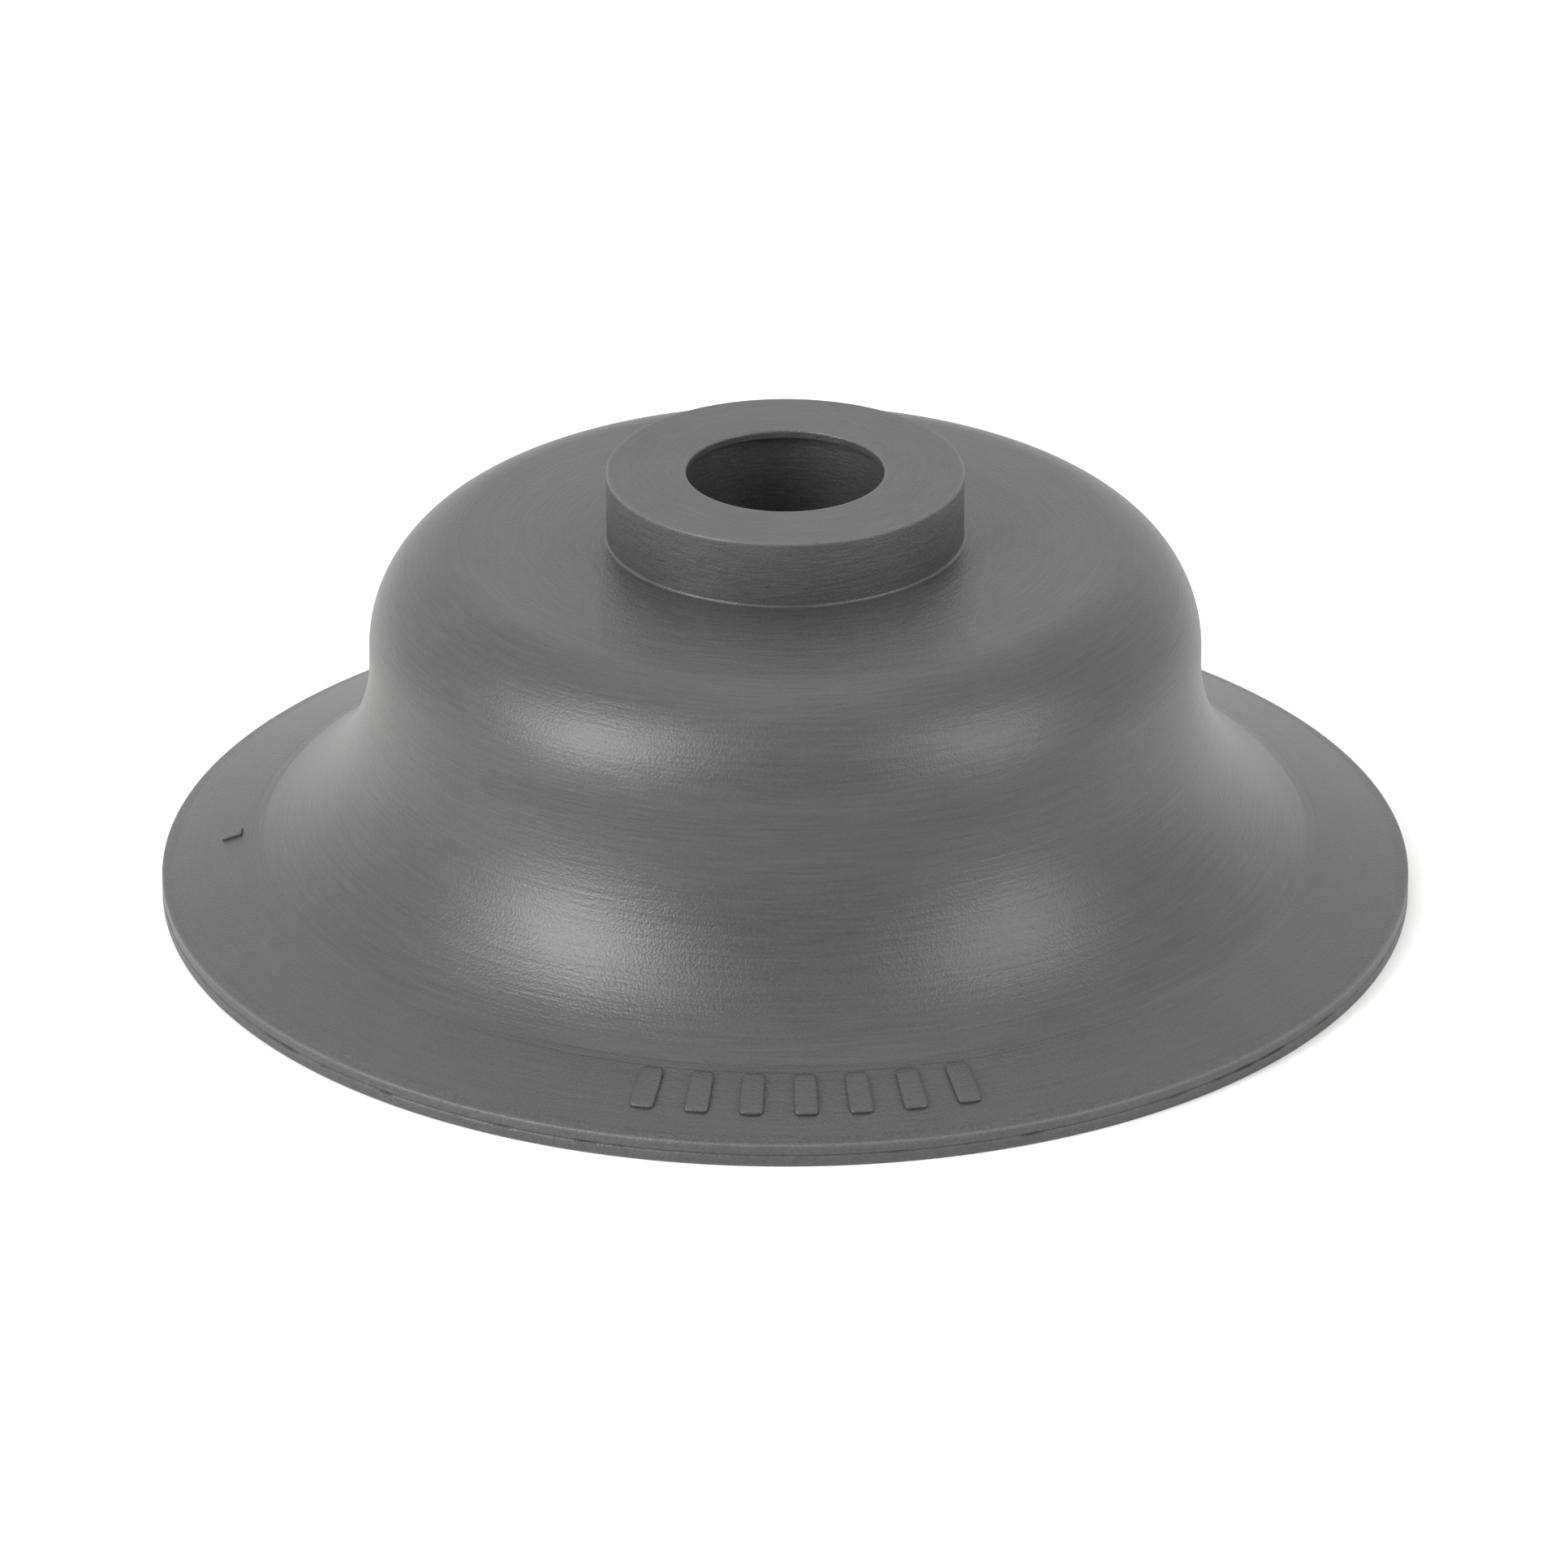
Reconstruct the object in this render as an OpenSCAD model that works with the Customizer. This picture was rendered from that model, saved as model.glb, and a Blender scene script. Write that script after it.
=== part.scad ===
// Bell-shaped vacuum suction cup, moulded in one elastomer.
// +Z points up through the collar. The origin is the centre of the circle on which the sealing edge rests.
// Each zone of the moulding that keeps its shape, or flexes in its own way, is a solid of its own.

/* [Sealing lip] */
// Outer diameter of the sealing edge
lip_d = 60; // [59.4:0.2:62]
// Height of the upright edge all round the lip
edge_t = 1.1; // [0.9:0.05:1.3]
// Width of the upright edge ring, measured inwards
edge_w = 0.6; // [0.5:0.05:0.8]
// Depth of the parting line round the edge
parting_depth = 0.12; // [0.06:0.02:0.16]
// Height of the crease where the lip meets the flare
crease_h = 2.8; // [2.6:0.1:3.2]

/* [Bell] */
// Outer diameter of the upright wall
wall_d = 39.7; // [39:0.1:40.2]
// Thickness of the wall, the flare and the crown
wall_t = 1.4; // [1.2:0.1:1.6]
// Radius of the hollow curve of the flare
flare_r = 10.8; // [10.4:0.1:11]
// Slope of the flare where it reaches the crease, in degrees from level
flare_foot_slope = 31; // [30:1:33]
// Radius of the shoulder beside the crown
shoulder_top_r = 3.85; // [3:0.05:4.5]
// Radius of the shoulder beside the wall
shoulder_side_r = 5.5; // [5.2:0.05:5.7]
// Slope at which the first shoulder radius hands over to the second, in degrees
shoulder_split = 28; // [24:1:32]
// Height of the crown where it meets the collar
crown_h = 18.35; // [18.2:0.05:18.6]
// Slope of the crown, in degrees
crown_slope = 3; // [2:0.5:4]

/* [Collar and bore] */
// Overall height of the cup
total_h = 21.6; // [21.2:0.1:22.4]
// Outer diameter of the collar
collar_d = 17; // [16.4:0.2:17.6]
// Diameter of the two lands that grip the nipple
bore_d = 9.4; // [9:0.1:9.8]
// Diameter of the pocket between the lands
pocket_d = 10.4; // [10.2:0.1:11]
// Height of the land at the mouth
mouth_land_h = 0.45; // [0.4:0.05:0.7]
// Height of the land at the inner end
inner_land_h = 0.9; // [0.7:0.1:1.6]
// How far the neck reaches down inside the bell, below the crown
neck_drop = 2.6; // [2.4:0.1:3]
// Size of the bead at the foot of the collar
foot_bead = 0.2; // [0.15:0.05:0.35]
// Bevel on the collar's rim and on the mouth of the bore
bevel = 0.12; // [0.08:0.02:0.2]

/* [Raised marks] */
// How many plain bars stand on the front of the lip
bar_count = 7; // [3:1:9]
// Angle from one bar to the next
bar_pitch = 5.2; // [4.4:0.2:6]
// Width of one bar
bar_w = 1.1; // [0.8:0.1:1.4]
// Length of one bar, down the slope of the lip
bar_len = 2.6; // [2:0.2:3]
// How far a bar stands out of the lip
bar_h = 0.22; // [0.15:0.01:0.3]
// Radius at which the middle of a bar stands
bar_r = 27; // [26.9:0.1:27.4]
// Heading of the middle bar, in degrees to the right of the front
bar_turn = 2; // [-4:0.5:4]
// Length of the tick on the left of the lip, down the slope
tick_len = 1; // [0.8:0.1:1.6]
// Length of the tick's short leg, round the axis
tick_leg = 0.8; // [0.5:0.1:1.2]
// Width of the tick's two legs
tick_w = 0.3; // [0.2:0.05:0.4]
// How far the tick stands out of the lip
tick_h = 0.14; // [0.1:0.02:0.2]
// Radius at which the middle of the tick stands
tick_r = 26.6; // [26.4:0.1:27.4]

/* [Hidden] */
$fn = 180;
outside = 0;
arc_steps = 8;
rubber = "#6e6f6d";
rubber_inside = "#4c4d4c";

lip_r = lip_d / 2;
wall_r = wall_d / 2;
collar_r = collar_d / 2;
bore_r = bore_d / 2;
pocket_r = pocket_d / 2;
edge_in_r = lip_r - edge_w;
// the crease ring runs this far out on to the lip
ring_on_lip = 0.5;

// slopes of the outer skin, in degrees from level, at which one zone ends and the next begins
ring_a = flare_foot_slope + 5;
flare_lo_a = 63;
flare_hi_a = 67;
waist_lo_a = 82;
waist_hi_a = 85;
dome_a = 76;

// centres of the three arcs of the bell, each as [radius, height]
flare_c = [wall_r + flare_r, crease_h + flare_r * cos(flare_foot_slope)];
side_r = wall_r - shoulder_side_r;
top_r = side_r + (shoulder_side_r - shoulder_top_r) * sin(shoulder_split);
crown_end = top_r + shoulder_top_r * sin(crown_slope);
top_z = crown_h - (crown_end - collar_r) * tan(crown_slope) - shoulder_top_r * cos(crown_slope);
side_z = top_z + (shoulder_top_r - shoulder_side_r) * cos(shoulder_split);

// points of each arc at a slope a, at a depth t under the outer skin
function flare_pt(a, t) = flare_c - (flare_r + t) * [sin(a), cos(a)];
function side_pt(a, t) = [side_r, side_z] + (shoulder_side_r - t) * [sin(a), cos(a)];
function top_pt(a, t) = [top_r, top_z] + (shoulder_top_r - t) * [sin(a), cos(a)];

// runs of points along an arc, from slope a to slope b
function run(a, b) = [for (i = [0 : arc_steps]) a + (b - a) * i / arc_steps];
function flare_run(a, b, t) = [for (s = run(a, b)) flare_pt(s, t)];
function side_run(a, b, t) = [for (s = run(a, b)) side_pt(s, t)];
function top_run(a, b, t) = [for (s = run(a, b)) top_pt(s, t)];

// the lip: its top is a cone from the crease to the edge, its underside a cone down to the resting face
crease = flare_pt(flare_foot_slope, outside);
crease_under = flare_pt(flare_foot_slope, wall_t);
function on_line(p, q, r) = [r, p[1] + (q[1] - p[1]) * (r - p[0]) / (q[0] - p[0])];
function lip_top(r) = on_line(crease, [lip_r, edge_t], r);
function lip_under(r) = on_line(crease_under, [edge_in_r, 0], r);
ring_out_r = crease[0] + ring_on_lip;
lip_slope = atan((crease_h - edge_t) / (lip_r - crease[0]));

// the crown's top at a radius r, and its underside one wall below
function crown_top(r) = [r, crown_h - (r - collar_r) * tan(crown_slope)];
function crown_under(r) = crown_top(r) - [0, wall_t / cos(crown_slope)];

// a closed ring between an outer run of points and an inner one
module ring(outer, inner) {
    rotate_extrude() polygon(concat(outer, [for (i = [len(inner) - 1 : -1 : 0]) inner[i]]));
}

// the same zone of the flare from slope a to slope b
module flare_zone(a, b) {
    ring(flare_run(a, b, outside), flare_run(a, b, wall_t));
}

// upright edge of the lip, with the parting line round it and a flat face to rest on
module sealing_edge() {
    mid = edge_t / 2;
    color(rubber) rotate_extrude() polygon([
        [edge_in_r, 0],
        [lip_r, 0],
        [lip_r, mid - parting_depth],
        [lip_r - parting_depth, mid],
        [lip_r, mid + parting_depth],
        [lip_r, edge_t],
        lip_top(edge_in_r)
    ]);
}

// thin cone that spreads on the workpiece
module lip_cone() {
    color(rubber) ring([lip_top(ring_out_r), lip_top(edge_in_r)], [lip_under(ring_out_r), [edge_in_r, 0]]);
}

// lays its children on the slope of the lip, with X running down the slope, at a radius and a heading
module on_lip(radius, heading) {
    mid = lip_top(radius);
    rotate([0, 0, heading])
        translate([mid[0], 0, mid[1]])
            rotate([0, lip_slope, 0])
                children();
}

// plain bars standing on the front of the lip
module lip_bars() {
    color(rubber)
        for (i = [0 : bar_count - 1])
            on_lip(bar_r, bar_turn - 90 + (i - (bar_count - 1) / 2) * bar_pitch)
                translate([-bar_len / 2, -bar_w / 2, 0])
                    cube([bar_len, bar_w, bar_h]);
}

// small L-shaped tick standing on the left of the lip
module lip_tick() {
    half = tick_w / 2;
    inner = -tick_len / 2;
    color(rubber) on_lip(tick_r, 180) linear_extrude(tick_h) polygon([
        [inner, half],
        [inner, half - tick_leg],
        [inner + tick_w, half - tick_leg],
        [inner + tick_w, -half],
        [inner + tick_len, -half],
        [inner + tick_len, half]
    ]);
}

// ring at the crease, where the lip hinges on the flare
module lip_root_ring() {
    color(rubber) ring(
        concat(flare_run(ring_a, flare_foot_slope, outside), [lip_top(ring_out_r)]),
        concat(flare_run(ring_a, flare_foot_slope, wall_t), [lip_under(ring_out_r)])
    );
}

// part of the flare that folds down as the cup is pressed on
module lower_flare() {
    color(rubber) flare_zone(flare_lo_a, ring_a);
}

module flare_ring() {
    color(rubber) flare_zone(flare_hi_a, flare_lo_a);
}

// part of the flare that flexes as the cup tilts about X
module upper_flare() {
    color(rubber) flare_zone(waist_lo_a, flare_hi_a);
}

module waist_ring() {
    color(rubber) flare_zone(waist_hi_a, waist_lo_a);
}

// upright wall that flexes as the cup tilts about Y
module waist_wall() {
    color(rubber) ring(
        concat(side_run(dome_a, 90, outside), flare_run(90, waist_hi_a, outside)),
        concat(side_run(dome_a, 90, wall_t), flare_run(90, waist_hi_a, wall_t))
    );
}

// round shoulder, in two radii
module shoulder() {
    color(rubber) ring(
        concat(top_run(crown_slope, shoulder_split, outside), side_run(shoulder_split, dome_a, outside)),
        concat(top_run(crown_slope, shoulder_split, wall_t), side_run(shoulder_split, dome_a, wall_t))
    );
}

// nearly level web between the collar and the shoulder
module crown() {
    color(rubber) ring(
        [crown_top(collar_r), top_pt(crown_slope, outside)],
        [crown_under(collar_r), top_pt(crown_slope, wall_t)]
    );
}

module collar_foot_bead() {
    color(rubber) rotate_extrude() polygon([
        [collar_r, crown_h],
        crown_top(collar_r + foot_bead),
        [collar_r, crown_h + foot_bead]
    ]);
}

// collar above the crown; the mouth land fills its upper inner corner
module collar() {
    color(rubber) rotate_extrude() polygon([
        [pocket_r, crown_h],
        [collar_r, crown_h],
        [collar_r, total_h - bevel],
        [collar_r - bevel, total_h],
        [pocket_r, total_h]
    ]);
}

// narrow land at the mouth, which snaps over the nipple
module mouth_land() {
    color(rubber) rotate_extrude() polygon([
        [bore_r, total_h - mouth_land_h],
        [pocket_r, total_h - mouth_land_h],
        [pocket_r, total_h],
        [bore_r + bevel, total_h],
        [bore_r, total_h - bevel]
    ]);
}

// neck inside the bell, below the collar, with a bevelled lower corner
module neck_root() {
    corner = 4 * bevel;
    color(rubber_inside) rotate_extrude() polygon([
        [pocket_r, crown_h - neck_drop],
        [collar_r - corner, crown_h - neck_drop],
        [collar_r, crown_h - neck_drop + corner],
        [collar_r, crown_h],
        [pocket_r, crown_h]
    ]);
}

// land at the inner end of the neck, in line with the one at the mouth
module inner_land() {
    color(rubber_inside) rotate_extrude() polygon([
        [bore_r, crown_h - neck_drop],
        [pocket_r, crown_h - neck_drop],
        [pocket_r, crown_h - neck_drop + inner_land_h],
        [bore_r, crown_h - neck_drop + inner_land_h]
    ]);
}

sealing_edge();
lip_cone();
lip_bars();
lip_tick();
lip_root_ring();
lower_flare();
flare_ring();
upper_flare();
waist_ring();
waist_wall();
shoulder();
crown();
collar_foot_bead();
collar();
mouth_land();
neck_root();
inner_land();
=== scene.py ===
"""Bell-shaped vacuum suction cup, moulded in one elastomer, on a pale studio floor."""

import math

import bmesh
import bpy
import numpy as np
from bpy.props import FloatProperty, IntProperty, PointerProperty, StringProperty
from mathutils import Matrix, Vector


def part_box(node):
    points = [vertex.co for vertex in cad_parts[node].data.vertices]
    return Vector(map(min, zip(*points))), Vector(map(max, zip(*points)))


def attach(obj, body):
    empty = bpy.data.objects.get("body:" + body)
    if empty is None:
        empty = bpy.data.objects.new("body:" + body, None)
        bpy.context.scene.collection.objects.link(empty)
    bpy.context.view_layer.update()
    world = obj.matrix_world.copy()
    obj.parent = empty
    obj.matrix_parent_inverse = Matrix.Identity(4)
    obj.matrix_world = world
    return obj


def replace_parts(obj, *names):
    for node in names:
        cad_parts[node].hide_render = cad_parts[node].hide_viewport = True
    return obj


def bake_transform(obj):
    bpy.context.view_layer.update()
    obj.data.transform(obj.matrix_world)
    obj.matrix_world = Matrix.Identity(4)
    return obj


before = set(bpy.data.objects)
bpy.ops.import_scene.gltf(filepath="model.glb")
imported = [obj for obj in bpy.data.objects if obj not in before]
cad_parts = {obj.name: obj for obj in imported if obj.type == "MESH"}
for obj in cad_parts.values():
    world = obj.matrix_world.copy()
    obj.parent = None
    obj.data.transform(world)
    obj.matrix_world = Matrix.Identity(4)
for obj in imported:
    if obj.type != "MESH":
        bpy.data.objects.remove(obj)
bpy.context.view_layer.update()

bl_info = {
    "name": "Suction cup",
    "version": (1, 0, 0),
    "blender": (4, 5, 0),
    "location": "3D view > Sidebar > Cup",
    "description": "Builds the moulded rubber of a bell-shaped vacuum suction cup round its CAD frame",
    "category": "Object",
}

MM = 0.001
# Slopes of the outer skin, in degrees from level, where one zone of the moulding ends and the next begins.
LIP_ROOT_TOP = 36.0
FLARE_RING_LOW = 63.0
FLARE_RING_HIGH = 67.0
WAIST_LOW = 82.0
WAIST_HIGH = 85.0
SHOULDER_LOW = 76.0
UPRIGHT = 90.0
# Thickness of the sheet under each face of the lip, measured level, so that it stays the same in a flex.
LIP_SKIN = 0.4
# How far each half of the parting line spreads up and down the edge, and how far the pale paint of a corner
# fades out; that paint is part wear and part painted highlight on edges that catch the light.
PARTING_SPREAD = 0.08
WEAR_AND_HIGHLIGHT_REACH = 0.16
# Slope at which the shading of an edge turns crisp, and the largest step along a round corner.
SHARP_EDGE = math.radians(32)
CORNER_STEP = math.radians(15)
# How square a bar's corners are (1 is an ellipsoid, 0 a box), and its points round and up.
CORNER_POWER = 0.3
BAR_POINTS_ROUND = 40
BAR_POINTS_UP = 17
# Darkest and palest patches of the rubber, as shares of its colour.
DARKEST = 0.60
PALEST = 1.40
# How much the grain varies the roughness, and how much of every noise is fine detail.
GRAIN_ROUGHNESS = 0.15
NOISE_ROUGHNESS = 0.62
# Heights between which the mould's polish changes from the flare's to the dome's.
DOME_LOW = 8.0
DOME_HIGH = 14.0
# Radius at which the length of the turned rings, round the axis, is stated.
RINGS_RADIUS = 25
# Width of the stage's floor sheet and how many squares it has each way.
FLOOR_WIDTH = 6.0
FLOOR_SQUARES = 24


# ---------------------------------------------------------------- sizes and finishes that a user may change


def length(name, description, default_mm, low_mm=0.0, high_mm=100.0):
    """A length property, stated in millimetres and held in metres."""
    return FloatProperty(
        name=name, description=description, default=default_mm * MM, min=low_mm * MM, max=high_mm * MM,
        unit="LENGTH", subtype="DISTANCE", precision=5,
    )


def angle(name, description, default_deg):
    """An angle property, stated in degrees and held in radians."""
    default = math.radians(default_deg)
    return FloatProperty(name=name, description=description, default=default, subtype="ANGLE")


def number(name, description, default):
    """A plain number that can't be negative."""
    return FloatProperty(name=name, description=description, default=default, min=0)


def shade(name, description, default_hex):
    """A colour, stated as sRGB hex."""
    return StringProperty(name=name, description=description + ", as sRGB hex", default=default_hex)


def top_of(node):
    """Height of a CAD node's top, in millimetres."""
    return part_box(node)[1].z / MM


def foot_of(node):
    """Height of a CAD node's foot, in millimetres."""
    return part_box(node)[0].z / MM


def reach_of(node):
    """Outer radius of a round CAD node, in millimetres."""
    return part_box(node)[1].x / MM


class CupSizes(bpy.types.PropertyGroup):
    """Driving dimensions of the moulding, the same as in the CAD model."""

    lip_radius: length("Lip radius", "Outer radius of the sealing edge", reach_of("sealing_edge"))
    edge_height: length("Edge height", "Height of the upright edge", 1.1)
    edge_width: length("Edge width", "Width of the upright edge ring", 0.6)
    parting_depth: length("Parting line depth", "Depth of the line where the mould parts", 0.06)
    blade_nick: length("Blade nick", "Most that the trimming blade cut out of the parting line", 0.12)
    crease_height: length("Crease height", "Height of the crease where the lip meets the flare", 2.8)
    ring_on_lip: length("Ring on lip", "How far the crease ring runs out on to the lip", 0.5)
    wall_radius: length("Wall radius", "Outer radius of the upright wall", 19.85)
    wall: length("Wall", "Thickness of the wall, the flare and the crown", 1.4)
    flare_radius: length("Flare radius", "Radius of the hollow curve of the flare", 10.8)
    flare_foot: angle("Flare foot", "Slope of the flare where it reaches the crease", 31.0)
    shoulder_top_radius: length("Shoulder radius, top", "Radius of the shoulder beside the crown", 3.85)
    shoulder_side_radius: length("Shoulder radius, side", "Radius of the shoulder beside the wall", 5.5)
    shoulder_split: angle("Shoulder split", "Slope where the first shoulder radius hands over", 28.0)
    crown_slope: angle("Crown slope", "Slope of the crown", 3.0)
    crown_height: length("Crown height", "Height of the crown at the collar", foot_of("collar"))
    collar_radius: length("Collar radius", "Outer radius of the collar", reach_of("collar"))
    collar_top: length("Collar top", "Overall height of the cup", top_of("collar"))
    bore_radius: length("Bore radius", "Radius of the two lands that grip the nipple", 4.7)
    pocket_radius: length("Pocket radius", "Radius of the pocket between the lands", reach_of("mouth_land"))
    mouth_land_foot: length("Mouth land foot", "Height of the mouth land's underside", foot_of("mouth_land"))
    inner_land_top: length("Inner land top", "Height of the inner land's top", top_of("inner_land"))
    neck_foot: length("Neck foot", "Height of the lower end of the neck", foot_of("neck_root"))
    foot_fillet: length("Collar foot fillet", "Radius of the fillet at the collar's foot", 0.12)
    crisp: length("Crisp edge", "Radius of a crisp moulded edge", 0.1)
    around: IntProperty(name="Steps around", description="Faces round the axis", default=288, min=48)
    fine_step: length("Fine step", "Length of a face down the outer skin", 0.09)
    coarse_step: length("Coarse step", "Length of a face down the inner skin", 0.3)


class MarkSizes(bpy.types.PropertyGroup):
    """The plain raised bars on the front of the lip, and the small L-shaped tick on its left."""

    count: IntProperty(name="Bars", description="How many bars stand on the lip", default=7, min=1, max=15)
    pitch: angle("Pitch", "Angle from one bar to the next", 5.2)
    turn: angle("Turn", "Heading of the middle bar, to the right of the front", 2.0)
    place: length("Bar place", "Radius at which the middle of a bar stands", 27.0)
    width: length("Bar width", "Width of one bar", 1.1)
    long: length("Bar length", "Length of one bar, down the slope of the lip", 2.6)
    height: length("Bar height", "How far a bar stands out of the lip", 0.2)
    tick_turn: angle("Tick turn", "Where the tick stands, from +X", 180.0)
    tick_place: length("Tick place", "Radius at which the middle of the tick stands", 26.6)
    tick_length: length("Tick length", "Length of the tick, down the slope of the lip", 1.0)
    tick_leg: length("Tick leg", "Length of the tick's short leg, round the axis", 0.8)
    tick_width: length("Tick width", "Width of the tick's two legs", 0.3)
    tick_height: length("Tick height", "How far the tick stands out of the lip", 0.13)


class RubberFinish(bpy.types.PropertyGroup):
    """Colours and surface of the moulded rubber."""

    bell_hex: shade("Bell", "Colour of the bell and the lip", "#393A39")
    collar_hex: shade("Collar", "Colour of the collar", "#3B3C3B")
    # The bore's colour is a touch paler than the bell's: painted light, standing in for light that hardly
    # reaches into the bore.
    bore_hex: shade("Bore", "Colour inside the bore", "#3E3F3E")
    # The pale edge colour is part wear and part painted highlight, laid on the edges that catch the light.
    rubbed_hex: shade("Rubbed edge", "Colour of edges rubbed pale", "#616261")
    roughness: number("Roughness", "Roughness of the moulded skin", 0.34)
    turning_pitch: length("Turning pitch", "Distance between the fine tool marks", 0.14)
    turning_depth: length("Turning depth", "Depth of the fine tool marks", 0.019)
    grain_depth: length("Grain depth", "Depth of the fine grain of the skin", 0.025)
    dome_matte: number("Dome matte", "How much rougher the dome is than the flare", 0.04)


class Studio(bpy.types.PropertyGroup):
    """Camera and lights."""

    elevation: angle("Camera elevation", "Height of the camera above the floor, as an angle", 25.57)
    distance: length("Camera distance", "Distance from the camera to the cup", 540, 0, 5000)
    aim_height: length("Aim height", "Height that the camera looks at", 5.11)
    aim_side: length("Aim side", "Sideways place that the camera looks at", -0.06, -50)
    lens: number("Lens", "Focal length in millimetres on a 36 mm sensor", 258.2)
    sky: number("Sky", "Mean brightness of the white room", 0.885)
    dim_front: number("Dim front", "How much darker the room is in front, as a share", 0.36)
    left_power: number("Left box", "Power of the left soft box in watts", 2.05)
    right_power: number("Right box", "Power of the right soft box in watts", 0.92)
    top_power: number("Top box", "Power of the overhead soft box in watts", 0.40)
    floor_hex: shade("Floor", "Colour of the floor", "#F4F4F3")


# ---------------------------------------------------------------- the profile of the moulding


class Profile:
    """The half section of the cup, in millimetres, as [radius, height] arrays.

    Three arcs make the bell: the hollow flare, the side of the shoulder and the top of the shoulder. A point
    of an arc is given by the slope a of the outer skin there and the depth t under that skin. Its place is
    the arc's centre plus or minus the radius along [sin a, cos a], the radius being shorter by t on a bulging
    arc and longer by t on the hollow one.
    """

    def __init__(self, sizes):
        for key in CupSizes.__annotations__:
            value = getattr(sizes, key)
            setattr(self, key, value if isinstance(value, int) else value / MM)
        self.flare_foot = math.degrees(sizes.flare_foot)
        self.shoulder_split = math.degrees(sizes.shoulder_split)
        self.crown_slope = math.degrees(sizes.crown_slope)
        foot, split, crown = sizes.flare_foot, sizes.shoulder_split, sizes.crown_slope
        self.flare_centre = np.array([
            self.wall_radius + self.flare_radius,
            self.crease_height + self.flare_radius * math.cos(foot),
        ])
        side_r = self.wall_radius - self.shoulder_side_radius
        radii_gap = self.shoulder_side_radius - self.shoulder_top_radius
        top_r = side_r + radii_gap * math.sin(split)
        crown_end = top_r + self.shoulder_top_radius * math.sin(crown)
        crown_drop = (crown_end - self.collar_radius) * math.tan(crown)
        top_z = self.crown_height - crown_drop - self.shoulder_top_radius * math.cos(crown)
        self.top_centre = np.array([top_r, top_z])
        self.side_centre = np.array([side_r, top_z - radii_gap * math.cos(split)])
        self.edge_inner = self.lip_radius - self.edge_width
        self.crease = self.flare(self.flare_foot, 0)[0]
        self.crease_under = self.flare(self.flare_foot, self.wall)[0]
        self.ring_outer = self.crease[0] + self.ring_on_lip
        self.lip_slope = math.atan2(self.crease_height - self.edge_height, self.lip_radius - self.crease[0])

    @staticmethod
    def _along(slope):
        turn = np.radians(np.atleast_1d(slope))
        return np.stack([np.sin(turn), np.cos(turn)], axis=1)

    def flare(self, slope, depth):
        return self.flare_centre - (self.flare_radius + depth) * self._along(slope)

    def side(self, slope, depth):
        return self.side_centre + (self.shoulder_side_radius - depth) * self._along(slope)

    def top(self, slope, depth):
        return self.top_centre + (self.shoulder_top_radius - depth) * self._along(slope)

    def lip_top(self, radius):
        """Straight line from the crease to the top of the edge, at these radii."""
        share = (np.atleast_1d(radius) - self.crease[0]) / (self.lip_radius - self.crease[0])
        height = self.crease[1] + share * (self.edge_height - self.crease[1])
        return np.stack([np.atleast_1d(radius), height], 1)

    def lip_under(self, radius):
        """Straight line from the crease's underside to the inner foot of the edge, at these radii."""
        share = (np.atleast_1d(radius) - self.crease_under[0]) / (self.edge_inner - self.crease_under[0])
        return np.stack([np.atleast_1d(radius), self.crease_under[1] * (1 - share)], 1)

    def crown(self, radius, depth):
        """Straight line sloping down from the collar, at these radii, at a depth under it."""
        slope = math.radians(self.crown_slope)
        height = self.crown_height - (np.atleast_1d(radius) - self.collar_radius) * math.tan(slope)
        return np.stack([np.atleast_1d(radius), height - depth / math.cos(slope)], 1)


def arc(place, slope_from, slope_to, depth, step):
    """Points of an arc from one slope to another, no further apart than step. place is a Profile arc."""
    ends = place(np.array([slope_from, slope_to]), depth)
    chord = np.linalg.norm(ends[1] - ends[0])
    count = max(2, math.ceil(chord / step) + 1)
    return place(np.linspace(slope_from, slope_to, count), depth)


def straight(start, end, step):
    """Points of a straight line from start to end, no further apart than step."""
    start, end = np.asarray(start, float).ravel(), np.asarray(end, float).ravel()
    count = max(2, math.ceil(np.linalg.norm(end - start) / step) + 1)
    return start + np.linspace(0, 1, count)[:, None] * (end - start)


def rounded(corners, radii, step):
    """A closed outline with round corners.

    At a corner with a radius, the outline leaves the side at the radius over the tangent of half the corner's
    angle, follows the arc that touches both sides, and joins the next side. Sides are cut into steps.
    """
    corners = np.asarray(corners, float)
    points = []
    for k, radius in enumerate(radii):
        here, before, after = corners[k], corners[k - 1], corners[(k + 1) % len(corners)]
        back = (before - here) / np.linalg.norm(before - here)
        ahead = (after - here) / np.linalg.norm(after - here)
        half = 0.5 * math.acos(np.clip(back @ ahead, -1, 1))
        if radius <= 0:
            points.append(here[None])
            continue
        reach = radius / math.tan(half)
        centre = here + (back + ahead) / np.linalg.norm(back + ahead) * radius / math.sin(half)
        start, end = here + back * reach - centre, here + ahead * reach - centre
        turn = math.atan2(start[0] * end[1] - start[1] * end[0], start @ end)
        count = max(3, math.ceil(abs(turn) / CORNER_STEP) + 1)
        t = np.linspace(0, turn, count)
        across = np.array([-start[1], start[0]])
        points.append(centre + np.cos(t)[:, None] * start + np.sin(t)[:, None] * across)
    sides = []
    for k, arc_points in enumerate(points):
        sides.append(arc_points)
        following = points[(k + 1) % len(points)]
        sides.append(straight(arc_points[-1], following[0], step)[1:-1])
    return np.concatenate(sides)


# ---------------------------------------------------------------- meshes


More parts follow.
